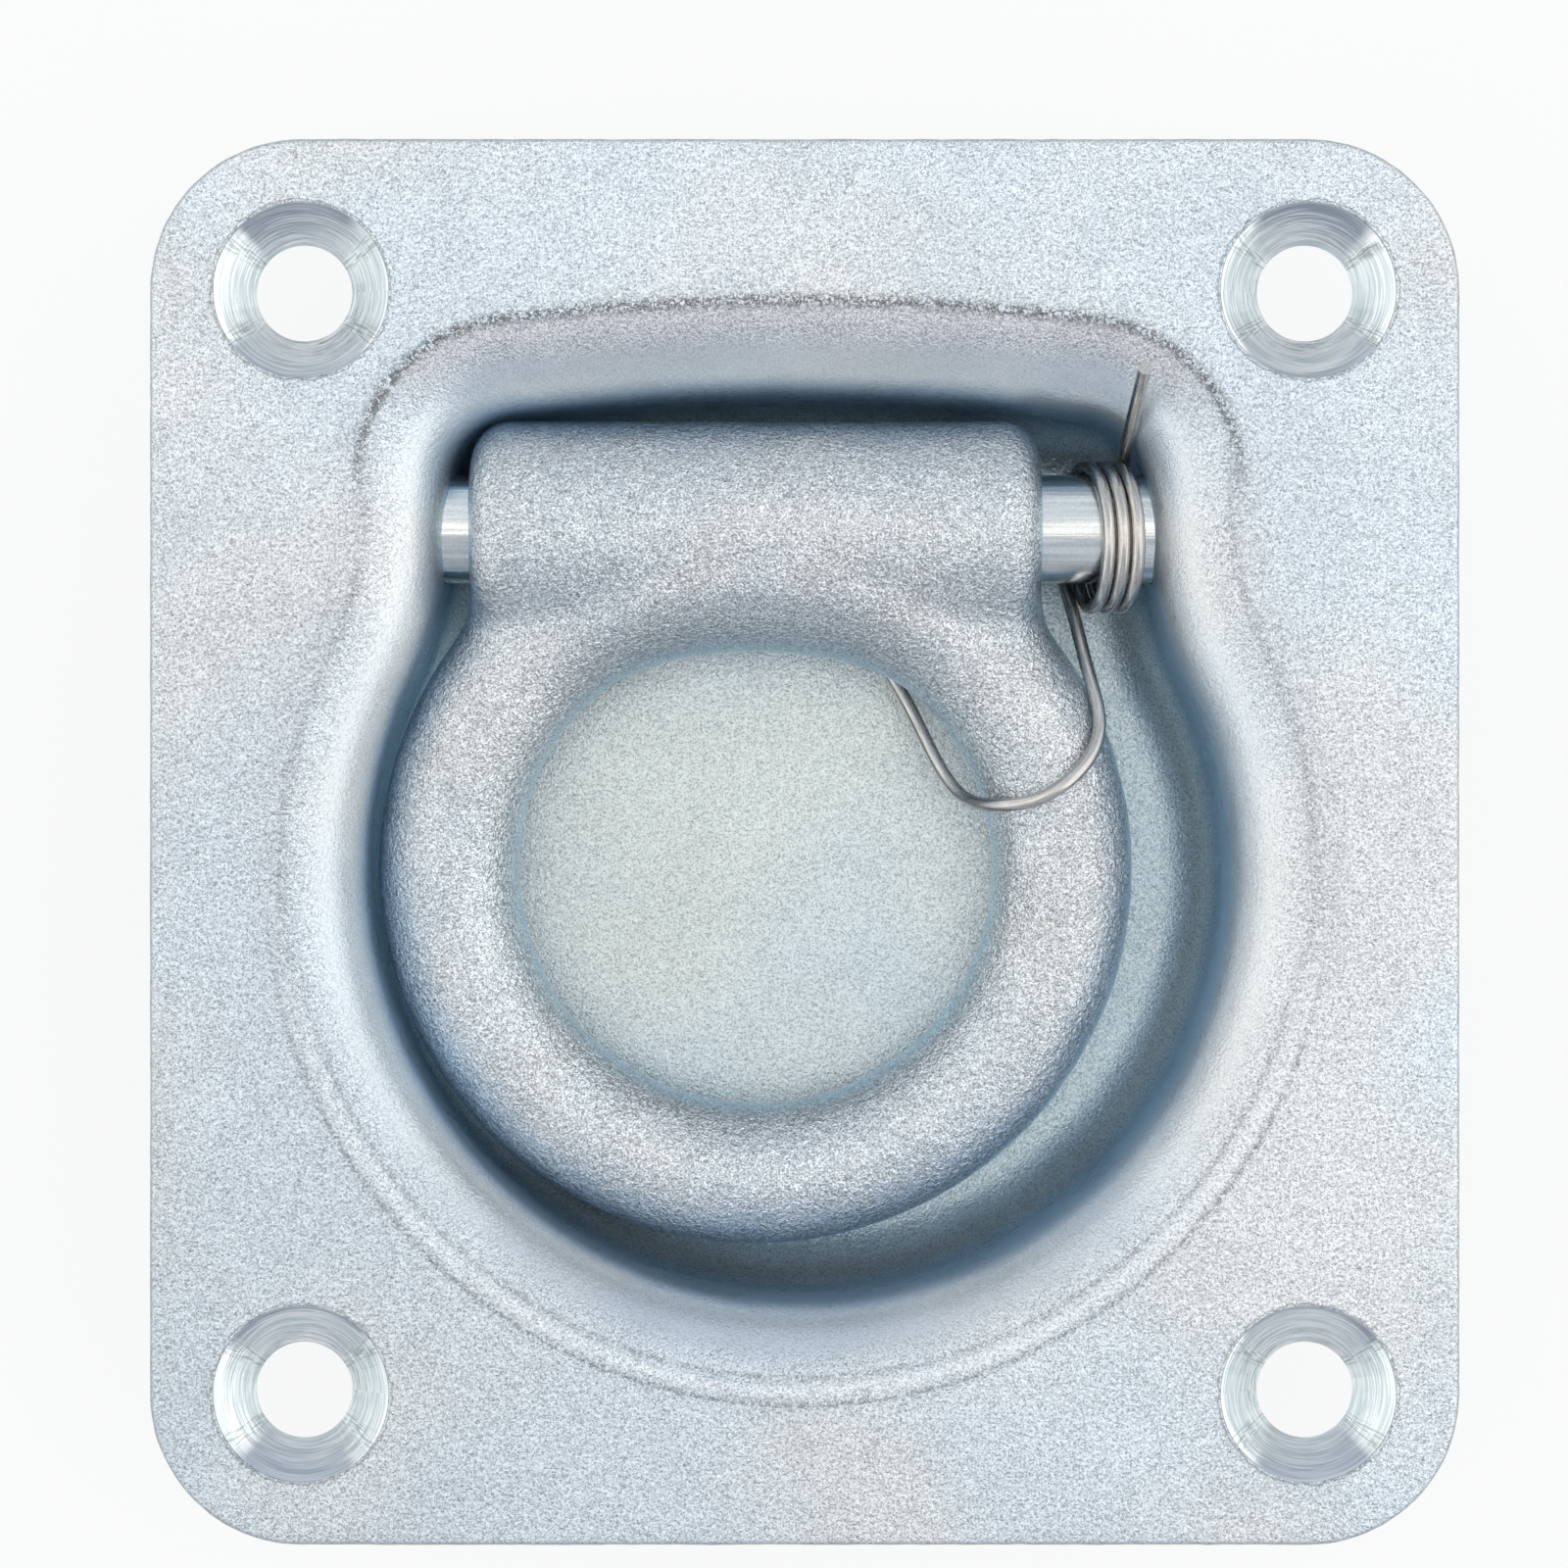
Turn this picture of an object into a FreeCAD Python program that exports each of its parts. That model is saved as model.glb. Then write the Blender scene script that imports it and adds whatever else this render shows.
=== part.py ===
import FreeCAD, Part
import math
import os

from FreeCAD import Vector

# A tie-down ring that folds away into a pressed pan. The pan is bolted down
# through its four corners. Millimetres, +Z up, +Y towards the hinge.
# The origin is the middle of the bolt pattern, on the underside of the flange.

# Plate, pressed from one sheet
plate_width = 95.0
plate_length = 102.0
plate_corner = 11.0
sheet = 3.2
hole_inset = 11.0
bolt_hole_dia = 7.0
sink_land = 0.35
sink_angle = 90.0
recess_shift = -0.45

# Recess wall: a bend at the lip, a steep wall, a fillet into the flat floor
wall_angle = 87.0
lip_bend = 3.4
floor_fillet = 4.3
floor_corner = 0.4
side_flat = 1.0
head_arch = 170.0

# Forged ring with a hinge barrel
ring_bar = 10.5
ring_hole_dia = 35.0
ring_reach = 25.2
barrel_dia = 16.0
barrel_length = 42.1
barrel_edge = 3.0
web_fillet = 3.0
bore_chamfer = 0.5

# Hinge pin, closed over outside both walls
hinge_y = 23.05
pin_dia = 8.0
pin_head_dia = 9.6
pin_head_length = 1.9
pin_head_round = 1.1

# Torsion spring round the pin: one leg leans on the lip, the other hooks over the ring
wire = 1.0
coil_bore = 9.4
coil_pitch = 1.08
coil_turns = 3
coil_lean = 13.0
coil_sag = 0.6
rest_leg_length = 17.5
rest_leg_lean = 2.5

# Clearances
bore_gap = 0.1
wall_hole_gap = 0.08
flush_gap = 0.3
floor_gap = 0.5
ring_floor_gap = 0.3
ring_side_gap = 0.4
barrel_side_gap = 1.3
barrel_back_gap = 1.7
coil_gap_in = 1.35
coil_gap_out = 0.15
wire_gap = 0.1

# Heights. The barrel's top lies just below the plate's face.
top_z = sheet
hinge_z = top_z - flush_gap - barrel_dia / 2
floor_z = hinge_z - barrel_dia / 2 - floor_gap
recess_depth = top_z - floor_z

# Wall section, as horizontal distances in from the crease of the lip
lip_radius = lip_bend + sheet
half_turn = math.tan(math.radians(wall_angle / 2))
wall_slope = 1 / math.tan(math.radians(wall_angle))
lip_run = lip_radius * half_turn
wall_run = lip_run + recess_depth * wall_slope + floor_fillet * half_turn
skin_run = sheet / math.sin(math.radians(wall_angle))


def wall_inset(z):
    """Distance from the crease to the straight wall at height z."""
    return lip_run + (top_z - z) * wall_slope


# Ring at rest: its far end hangs just clear of the floor
ring_radius = (ring_hole_dia + ring_bar) / 2
ring_outer = ring_radius + ring_bar / 2
ring_drop = hinge_z - (floor_z + ring_floor_gap + ring_bar / 2)
ring_tilt = math.asin(ring_drop / (ring_reach + ring_radius))
ring_y = hinge_y - ring_reach * math.cos(ring_tilt)
ring_z = hinge_z - ring_reach * math.sin(ring_tilt)

# Coil round the pin, leaning towards the wall at its top
coil_radius = (coil_bore + wire) / 2
coil_tilt = math.tan(math.radians(coil_lean))
coil_overhang = coil_radius * coil_tilt + wire / 2
coil_width = coil_pitch * (coil_turns - 0.5) + 2 * coil_overhang

# Recess in plan, measured at the crease: a round bowl with a narrower head
inner_width = barrel_side_gap + barrel_length + coil_gap_in + coil_width + coil_gap_out
head_half = inner_width / 2 + wall_inset(hinge_z)
ring_x = -inner_width / 2 + barrel_side_gap + barrel_length / 2
coil_x = inner_width / 2 - coil_gap_out - coil_overhang + coil_pitch * 0.75
coil_y = hinge_y - coil_sag
bowl_radius = ring_outer - ring_x + ring_side_gap + wall_inset(ring_z)
bowl_y = ring_y
head_top = hinge_y + barrel_dia / 2 + barrel_back_gap + wall_inset(hinge_z)
head_corner = wall_inset(floor_z) + floor_fillet + floor_corner

hinge = Vector(0, hinge_y, hinge_z)
x_axis = Vector(1, 0, 0)
z_axis = Vector(0, 0, 1)


def mirrored(point):
    return Vector(-point.x, point.y, point.z)


def between(center, a, b, radius):
    """Point at radius from center, halfway round from a to b."""
    return center + ((a - center).normalize() + (b - center).normalize()).normalize() * radius


def head_corner_center():
    """Centre of the round corner between the head's side and its arched end."""
    x = head_half - head_corner
    reach = head_arch - head_corner
    return Vector(x, head_top - head_arch + math.sqrt(reach * reach - x * x), 0)


def neck_curve():
    """Centre and radius of the hollow curve from the bowl into the head's straight side."""
    rise = head_corner_center().y - side_flat - bowl_y
    across = head_half * head_half + rise * rise - bowl_radius * bowl_radius
    radius = across / (2 * (bowl_radius - head_half))
    return Vector(head_half + radius, bowl_y + rise, 0), radius


def recess_outline(grow, z):
    """Closed wire of the recess at height z, grown outward from the crease."""
    bowl = Vector(0, bowl_y, 0)
    arch = Vector(0, head_top - head_arch, 0)
    corner = head_corner_center()
    neck, neck_radius = neck_curve()
    neck_grown = neck_radius - grow
    corner_grown = head_corner + grow
    to_bowl = neck + (bowl - neck).normalize() * neck_grown
    to_side = neck - x_axis * neck_grown
    side_top = corner + x_axis * corner_grown
    arch_end = arch + (corner - arch).normalize() * (head_arch + grow)
    neck_middle = between(neck, to_bowl, to_side, neck_grown)
    corner_middle = between(corner, side_top, arch_end, corner_grown)
    bottom = bowl - Vector(0, bowl_radius + grow, 0)
    top = arch + Vector(0, head_arch + grow, 0)
    curves = [
        Part.Arc(mirrored(to_bowl), bottom, to_bowl),
        Part.Arc(to_bowl, neck_middle, to_side),
        Part.LineSegment(to_side, side_top),
        Part.Arc(side_top, corner_middle, arch_end),
        Part.Arc(arch_end, top, mirrored(arch_end)),
        Part.Arc(mirrored(arch_end), mirrored(corner_middle), mirrored(side_top)),
        Part.LineSegment(mirrored(side_top), mirrored(to_side)),
        Part.Arc(mirrored(to_side), mirrored(neck_middle), mirrored(to_bowl)),
    ]
    outline = Part.Wire([curve.toShape() for curve in curves])
    outline.translate(Vector(0, 0, z))
    return outline


def tapered(grow, high, low):
    """Solid between two recess outlines, drawn in along the wall's slope."""
    upper = recess_outline(grow - wall_inset(high), high)
    lower = recess_outline(grow - wall_inset(low), low)
    return Part.makeLoft([upper, lower], True, True)


def edges_at(shape, z):
    """Level edges at height z that belong to the recess, not to the plate's rim."""
    found = []
    for edge in shape.Edges:
        box = edge.BoundBox
        level = abs(box.ZMin - z) < 1e-4 and abs(box.ZMax - z) < 1e-4
        inside = max(abs(box.XMin), abs(box.XMax)) < plate_width / 2 - 1
        if level and inside and box.YMin > 1 - plate_length / 2 and box.YMax < plate_length / 2 - 1:
            found.append(edge)
    return found


def make_plate():
    plate = Part.makeBox(plate_width, plate_length, sheet)
    plate.translate(Vector(-plate_width / 2 - recess_shift, -plate_length / 2, 0))
    upright = [edge for edge in plate.Edges if abs(edge.BoundBox.ZLength - sheet) < 1e-6]
    return plate.makeFillet(plate_corner, upright)


def bolt_hole_cutter():
    """A countersunk hole with a short straight land at the underside."""
    radius = bolt_hole_dia / 2
    depth = sheet - sink_land
    sink_radius = radius + depth * math.tan(math.radians(sink_angle / 2))
    shank = Part.makeCylinder(radius, sheet + 2, Vector(0, 0, -1))
    over = sink_radius - radius
    cone = Part.makeCone(radius, sink_radius + over, 2 * depth, Vector(0, 0, sink_land))
    return shank.fuse(cone)


def make_pan():
    punch = tapered(0, top_z + 3, floor_z)
    punch = punch.makeFillet(floor_fillet, edges_at(punch, floor_z))
    shell = tapered(skin_run, sheet / 2, floor_z - sheet)
    shell = shell.makeFillet(floor_fillet + sheet, edges_at(shell, floor_z - sheet))
    pan = make_plate().fuse(shell).removeSplitter()
    pan = pan.makeFillet(lip_bend, edges_at(pan, 0))
    pan = pan.cut(punch)
    pan = pan.makeFillet(lip_radius, edges_at(pan, top_z))
    hole_x = plate_width / 2 - hole_inset
    hole_y = plate_length / 2 - hole_inset
    for x in (-hole_x, hole_x):
        for y in (-hole_y, hole_y):
            cutter = bolt_hole_cutter()
            cutter.translate(Vector(x - recess_shift, y, 0))
            pan = pan.cut(cutter)
    hole_radius = pin_dia / 2 + wall_hole_gap
    pin_hole = Part.makeCylinder(hole_radius, plate_width, hinge - x_axis * plate_width / 2, x_axis)
    return pan.cut(pin_hole)


def make_ring():
    """Round bar ring and barrel forged in one, drawn level and then let down to rest."""
    left = Vector(ring_x - barrel_length / 2, hinge_y, hinge_z)
    right = left + x_axis * barrel_length
    barrel = Part.makeCylinder(barrel_dia / 2, barrel_length, left, x_axis)
    rims = [edge for edge in barrel.Edges if edge.Curve.TypeId == "Part::GeomCircle"]
    barrel = barrel.makeFillet(barrel_edge, rims)
    center = Vector(ring_x, hinge_y - ring_reach, hinge_z)
    hoop = Part.makeTorus(ring_radius, ring_bar / 2, center, z_axis)
    ring = barrel.fuse(hoop)
    plain = ("Part::GeomCircle", "Part::GeomLine")
    webs = [edge for edge in ring.Edges if edge.Curve.TypeId not in plain]
    ring = ring.makeFillet(web_fillet, webs)
    bore = pin_dia / 2 + bore_gap
    ring = ring.cut(Part.makeCylinder(bore, barrel_length, left, x_axis))
    flare = bore + bore_chamfer
    ring = ring.cut(Part.makeCone(flare, bore, bore_chamfer, left, x_axis))
    ring = ring.cut(Part.makeCone(flare, bore, bore_chamfer, right, x_axis * -1))
    ring.rotate(hinge, x_axis, math.degrees(ring_tilt))
    return ring


def make_pin(pan):
    """Pin whose ends are closed over the outside of the walls."""
    wall = inner_width / 2 + skin_run
    length = 2 * (wall + pin_head_length)
    start = hinge - x_axis * length / 2
    shank = Part.makeCylinder(pin_dia / 2, length, start, x_axis)
    pin = shank
    for side in (-1, 1):
        face = hinge + x_axis * side * length / 2
        height = pin_head_length + skin_run / 2
        head = Part.makeCylinder(pin_head_dia / 2, height, face, x_axis * -side)
        outer = [edge for edge in head.Edges if abs(edge.CenterOfMass.x - face.x) < 1e-6]
        head = head.makeFillet(pin_head_round, outer)
        pin = pin.fuse(head).removeSplitter()
    # a slanting wall can part slivers from the heads, so only the pin itself is kept
    return max(pin.cut(pan).Solids, key=lambda solid: solid.Volume)


def coil_point(turn):
    """Point on the wire's centre line, with turns counted from level at the back."""
    angle = turn * 2 * math.pi
    rise = coil_radius * math.sin(angle)
    x = coil_x + coil_pitch * turn + coil_tilt * rise
    return Vector(x, coil_y + coil_radius * math.cos(angle), hinge_z + rise)


def rest_leg_slope():
    """Slope at which the leg that leaves the coil just lies on the bend of the lip."""
    corner = head_corner_center()
    aside = max(0.0, coil_x - corner.x)
    lift = wire / 2 + wire_gap
    steepest = 0.0
    for step in range(1, 40):
        bend = math.radians(wall_angle * step / 40)
        radius = head_corner - lip_radius * math.sin(bend)
        if radius > aside:
            along = math.sqrt(radius * radius - aside * aside)
            y = corner.y + along - lift * math.sin(bend) * along / radius - coil_y
            z = top_z - lip_radius + (lip_radius + lift) * math.cos(bend) - hinge_z
            slope = math.atan2(z, y) + math.asin(coil_radius / math.hypot(y, z))
            steepest = max(steepest, slope)
    return steepest


def on_ring(angle, out, up):
    """Point by the ring's bar: degrees round the ring, then out and up from the bar's middle."""
    round_ring = math.radians(angle)
    flat = Vector(math.cos(round_ring), math.sin(round_ring), 0) * (ring_radius + out)
    lowered = FreeCAD.Rotation(x_axis, math.degrees(ring_tilt))
    center = Vector(ring_x, -ring_reach, 0)
    return hinge + lowered.multVec(center + flat + z_axis * up)


def hook_points():
    """Wire up the outside of the bar, over it and down inside the ring's hole."""
    lift = ring_bar / 2 + wire / 2 + wire_gap
    points = []
    for angle, bend in ((29, 15), (23.5, 34), (20, 52), (16.5, 81), (15, 106), (15.5, 130)):
        out = lift * math.cos(math.radians(bend))
        up = lift * math.sin(math.radians(bend))
        points.append(on_ring(angle, out, up))
    for angle, out, up in ((20, -1.12, 0.16), (35, -1.2, -0.32), (50, -1.0, -0.66), (62, -0.72, -0.86)):
        points.append(on_ring(angle, out * lift, up * lift))
    return points


def make_spring():
    slope = rest_leg_slope()
    first = slope / (2 * math.pi) - 0.25
    lean = math.tan(math.radians(rest_leg_lean))
    rest = Vector(lean, math.cos(slope), math.sin(slope))
    start = coil_point(first)
    hook = hook_points()
    reach = hook[0] - Vector(0, coil_y, hinge_z)
    away = math.hypot(reach.y, reach.z)
    leave = math.atan2(reach.z, reach.y) + math.acos(coil_radius / away)
    last = leave / (2 * math.pi) - 1 - coil_turns
    points = [start + rest * rest_leg_length * share for share in (1, 0.8, 0.6, 0.4, 0.2)]
    steps = 20 * coil_turns
    points += [coil_point(first + (last - first) * step / steps) for step in range(steps + 1)]
    end = points[-1]
    points += [end + (hook[0] - end) * share for share in (0.3, 0.6)]
    points += hook
    path = Part.BSplineCurve()
    path.interpolate(points)
    along = path.tangent(path.FirstParameter)[0]
    circle = Part.Circle(points[0], along, wire / 2).toShape()
    spring = Part.Wire([path.toShape()]).makePipeShell([Part.Wire([circle])], True, True)
    return spring


pan = make_pan()
parts = {
    "pan": pan,
    "forged_ring": make_ring(),
    "hinge_pin": make_pin(pan),
    "torsion_spring": make_spring(),
}
os.makedirs("parts", exist_ok=True)
for name, shape in parts.items():
    shape.translate(x_axis * recess_shift)
    shape.exportStep("parts/" + name + ".step")
    print(name, shape.isValid(), len(shape.Solids), round(shape.Volume), len(shape.Faces))
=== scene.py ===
from math import atan2, cos, pi, radians, sin, sqrt, tan

import bmesh
import bpy
import numpy as np
from mathutils import Matrix, Vector, noise


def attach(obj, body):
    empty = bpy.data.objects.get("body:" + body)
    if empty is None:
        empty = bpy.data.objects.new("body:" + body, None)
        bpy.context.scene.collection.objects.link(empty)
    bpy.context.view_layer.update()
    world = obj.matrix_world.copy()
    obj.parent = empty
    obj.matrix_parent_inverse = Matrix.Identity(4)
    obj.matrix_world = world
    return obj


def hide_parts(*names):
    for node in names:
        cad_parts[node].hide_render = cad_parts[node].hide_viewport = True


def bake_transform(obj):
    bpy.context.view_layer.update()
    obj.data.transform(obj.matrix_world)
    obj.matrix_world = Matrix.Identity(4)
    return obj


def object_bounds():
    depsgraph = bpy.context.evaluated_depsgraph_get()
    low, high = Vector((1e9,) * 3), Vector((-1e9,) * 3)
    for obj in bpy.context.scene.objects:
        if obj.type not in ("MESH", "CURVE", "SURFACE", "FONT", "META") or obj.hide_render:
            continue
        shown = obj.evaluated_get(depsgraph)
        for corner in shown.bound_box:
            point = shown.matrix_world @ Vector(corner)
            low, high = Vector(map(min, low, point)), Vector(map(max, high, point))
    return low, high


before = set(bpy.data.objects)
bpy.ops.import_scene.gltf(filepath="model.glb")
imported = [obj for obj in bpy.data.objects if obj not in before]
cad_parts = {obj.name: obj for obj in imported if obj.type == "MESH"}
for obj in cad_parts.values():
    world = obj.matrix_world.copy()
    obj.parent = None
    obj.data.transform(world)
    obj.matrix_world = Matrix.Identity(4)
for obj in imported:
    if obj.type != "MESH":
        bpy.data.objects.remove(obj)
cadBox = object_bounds()
print("frame loaded:", ", ".join(sorted(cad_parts)))

# Shapes are worked out in millimetres and shrunk to metres when a piece is done.
mm = 0.001


# ---- small helpers for nodes

def feed(tree, socket, value):
    # another node's output is linked, a plain value is set on the input
    if isinstance(value, bpy.types.NodeSocket):
        tree.links.new(value, socket)
    elif value is not None:
        socket.default_value = value


def addNode(tree, kind, inputs=None, **settings):
    node = tree.nodes.new(kind)
    for name, value in settings.items():
        setattr(node, name, value)
    for key, value in (inputs or {}).items():
        feed(tree, node.inputs[key], value)
    return node


def made(*what, **settings):
    return addNode(*what, **settings).outputs[0]


def reckon(tree, how, first, second=None):
    return made(tree, "ShaderNodeMath", {0: first, 1: second}, operation=how)


def times(tree, first, *others):
    for value in others:
        first = reckon(tree, "MULTIPLY", first, value)
    return first


def plus(tree, first, *others):
    for value in others:
        first = reckon(tree, "ADD", first, value)
    return first


def minus(tree, first, second):
    return reckon(tree, "SUBTRACT", first, second)


def gapTo(tree, value, middle):
    return reckon(tree, "ABSOLUTE", minus(tree, value, middle))


def flatDistance(tree, x, y):
    return reckon(tree, "SQRT", plus(tree, times(tree, x, x), times(tree, y, y)))


def grade(tree, value, fromLow, fromHigh, toLow=0.0, toHigh=1.0):
    ends = {0: value, 1: fromLow, 2: fromHigh, 3: toLow, 4: toHigh}
    return made(tree, "ShaderNodeMapRange", ends, interpolation_type="SMOOTHSTEP")


def gradeLength(tree, value, low, high, *ends):
    # the same between two lengths in millimetres
    return grade(tree, value, low * mm, high * mm, *ends)


def mixColors(tree, amount, first, second, how="MIX"):
    node = addNode(tree, "ShaderNodeMix", data_type="RGBA", blend_type=how)
    for socket, value in ((0, amount), (6, first), (7, second)):
        feed(tree, node.inputs[socket], value)
    return node.outputs[2]


def vector(tree, x=None, y=None, z=None):
    return made(tree, "ShaderNodeCombineXYZ", {"X": x, "Y": y, "Z": z})


def attribute(tree, name):
    return addNode(tree, "ShaderNodeAttribute", attribute_name=name).outputs["Fac"]


def noiseAt(tree, place, scale=1.0, detail=2.0, rough=0.5, warp=0.0):
    ends = {"Vector": place, "Scale": scale, "Detail": detail, "Roughness": rough, "Distortion": warp}
    return made(tree, "ShaderNodeTexNoise", ends)


def speckle(tree, place, size, *more):
    # size is the width of one speck in millimetres
    return noiseAt(tree, place, 1000.0 / size, *more)


def scratches(tree, place, turn, length, width, rarity):
    # long thin specks lying one way, of which only the highest show
    laid = made(tree, "ShaderNodeMapping", {
        "Vector": place, "Rotation": (0, 0, radians(turn)),
        "Scale": (1000.0 / length, 1000.0 / width, 1000.0 / width),
    })
    return grade(tree, noiseAt(tree, laid, 1.0, 1.0), rarity, rarity + 0.06)


def rampsOf(tree, look):
    # grades between the limits that the dictionary has under a name
    return lambda value, name: grade(tree, value, *look[name])


def newFinish(name, look):
    finish = bpy.data.materials.new(name)
    finish.use_nodes = True
    tree = finish.node_tree
    place = addNode(tree, "ShaderNodeTexCoord").outputs["Object"]
    return finish, tree, place, rampsOf(tree, look)


def setSurface(tree, look, tint, rough, height=None, metallic=None):
    # the height of the relief is in millimetres
    surface = tree.nodes["Principled BSDF"]
    bump = made(tree, "ShaderNodeBump", {"Height": height, "Distance": mm}) if height else None
    values = {"Base Color": tint, "Metallic": metallic or look.get("metallic"), "Normal": bump,
              "Specular Tint": look.get("edgeTint"), "Roughness": rough}
    for name, value in values.items():
        feed(tree, surface.inputs[name], value)
    return surface


def drawnTint(tree, place, streak, look, ramp):
    # a bright drawn metal: streaks between two tones, with fine specks over them
    tint = mixColors(tree, ramp(streak, "streakSpan"), look["dark"], look["light"])
    return mixColors(tree, 1.0, tint, ramp(speckle(tree, place, look["fine"]), "fineSpan"), "MULTIPLY")


def newPattern(name, start, inputs, result):
    # a Geometry Nodes tree with named inputs
    tree = bpy.data.node_groups.new(name, "GeometryNodeTree")
    sockets = tree.interface
    sockets.new_socket(start, in_out="INPUT", socket_type="NodeSocketGeometry")
    for key, kind in inputs.items():
        sockets.new_socket(key, in_out="INPUT", socket_type="NodeSocket" + kind)
    sockets.new_socket(result, in_out="OUTPUT", socket_type="NodeSocketGeometry")
    return tree, addNode(tree, "NodeGroupInput").outputs


def endPattern(tree, geometry, finish):
    whole = made(tree, "GeometryNodeRealizeInstances", {"Geometry": geometry})
    done = made(tree, "GeometryNodeSetMaterial", {"Geometry": whole, "Material": finish})
    feed(tree, addNode(tree, "NodeGroupOutput").inputs[0], done)
    return tree


def runPattern(thing, tree, values):
    # what the pattern makes becomes the object's own mesh
    modifier = thing.modifiers.new(tree.name, "NODES")
    modifier.node_group = tree
    for socket in tree.interface.items_tree:
        if socket.name in values:
            modifier[socket.identifier] = values[socket.name]
    return settleMesh(thing)


# ---- small helpers for meshes

def newObject(name, mesh, finish=None):
    thing = bpy.data.objects.new(name, mesh)
    bpy.context.scene.collection.objects.link(thing)
    if finish:
        mesh.materials.clear()
        mesh.materials.append(finish)
    return thing


def settleMesh(thing):
    # take what the modifiers make as the object's own mesh and drop the modifiers
    bpy.context.view_layer.update()
    shown = thing.evaluated_get(bpy.context.evaluated_depsgraph_get())
    mesh = bpy.data.meshes.new_from_object(shown)
    thing.modifiers.clear()
    thing.data = mesh
    return mesh


def discard(*things):
    for thing in things:
        bpy.data.objects.remove(thing, do_unlink=True)


def noteFloats(mesh, values):
    # one float per point for each named value
    for name, numbers in values.items():
        layer = mesh.attributes.new(name, "FLOAT", "POINT")
        layer.data.foreach_set("value", np.array(numbers, np.float32))


def lineMesh(name, chains, closed, values=None):
    # chains of points joined by edges
    points, edges = [], []
    for chain in chains:
        start = len(points)
        points += [tuple(point) for point in chain]
        edges += [(start + i, start + i + 1) for i in range(len(chain) - 1)]
        if closed:
            edges.append((len(points) - 1, start))
    mesh = bpy.data.meshes.new(name)
    mesh.from_pydata(points, edges, [])
    noteFloats(mesh, values or {})
    return mesh


def rounded(low, high, value):
    share = np.clip((value - low) / (high - low), 0, 1)
    return share * share * (3 - 2 * share)


def hump(value, middle, width):
    return np.exp(-((value - middle) / width) ** 2)


def pointsOf(mesh):
    flat = np.empty(len(mesh.vertices) * 3, np.float32)
    mesh.vertices.foreach_get("co", flat)
    return flat.reshape(-1, 3).astype(float)


def placePoints(mesh, points):
    mesh.vertices.foreach_set("co", points.astype(np.float32).ravel())
    mesh.update()


def cutAway(thing, *cutters):
    for cutter in cutters:
        modifier = thing.modifiers.new("cut", "BOOLEAN")
        modifier.operation = "DIFFERENCE"
        modifier.solver = "EXACT"
        modifier.object = cutter
    settleMesh(thing)
    discard(*cutters)


def meshFrom(bm, name):
    mesh = bpy.data.meshes.new(name)
    bm.to_mesh(mesh)
    bm.free()
    return mesh


def joinRows(bm, rows):
    for one, two in zip(rows, rows[1:]):
        for i in range(len(one)):
            bm.faces.new((one[i], one[i - 1], two[i - 1], two[i]))


def turnedMesh(name, profile, along, count):
    # a shape turned round the x axis, from (x, radius) points; along is where its axis lies
    bm = bmesh.new()
    spin = [2 * pi * i / count for i in range(count)]
    rows = [[bm.verts.new((x, along[0] + radius * cos(a), along[1] + radius * sin(a))) for a in spin]
            for x, radius in profile]
    joinRows(bm, rows)
    bm.faces.new(rows[0])
    bm.faces.new(rows[-1])
    bmesh.ops.recalc_face_normals(bm, faces=bm.faces)
    return meshFrom(bm, name)


steepness = {"span": (0.30, 0.95), "turnedAway": 0.15}


def noteSteep(mesh, hollow=None):
    # how steep each point lies, for painted blue shade on walls and flanks; hollow is the middle of a
    #     # recess, and faces turned away from it get only a little of that painted shade
    lie = np.array([vertex.normal[:] for vertex in mesh.vertices])
    steep = rounded(*steepness["span"], 1 - np.abs(lie[:, 2]))
    if hollow:
        away = pointsOf(mesh)[:, :2] - np.array(hollow)
        steep = steep * np.where((away * lie[:, :2]).sum(1) > 0, steepness["turnedAway"], 1.0)
    noteFloats(mesh, {"steep": steep})


def finishPiece(thing, sharpAngle):
    # to metres, smooth, with sharp edges kept
    thing.data.transform(Matrix.Scale(mm, 4))
    thing.data.shade_smooth()
    thing.data.set_sharp_from_angle(angle=radians(sharpAngle))
    thing.data.update()


# ---- camera: straight down on the plate, as in the photo

view = {"over": (-1.5, 4.2), "plateTop": 3.2, "distance": 385.0, "across": 113.6}
lens = bpy.data.cameras.new("photoCamera")
lens.sensor_width = 36.0
lens.lens = 36.0 * view["distance"] / view["across"]
lens.clip_start = 0.01
camera = newObject("photoCamera", lens)
camera.location = (view["over"][0] * mm, view["over"][1] * mm, (view["plateTop"] + view["distance"]) * mm)
bpy.context.scene.camera = camera
print("camera placed")


# ---- outline of the recess, measured where the lip starts to bend down

outline = {
    "middleX": -0.45, "bowlY": -2.1023, "bowlRadius": 38.3299, "headHalf": 32.1987, "headTop": 39.4482,
    "headArch": 170.0, "headCorner": 11.8436, "sideFlat": 1.0, "stationGap": 0.5,
}


def roundCurve(centre, radius, start, end, hollow, gap):
    count = max(2, round(abs(end - start) * radius / gap))
    angles = start + (end - start) * np.arange(count) / count
    out = np.stack([np.cos(angles), np.sin(angles)], 1)
    return np.array(centre) + out * radius, -out if hollow else out


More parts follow.
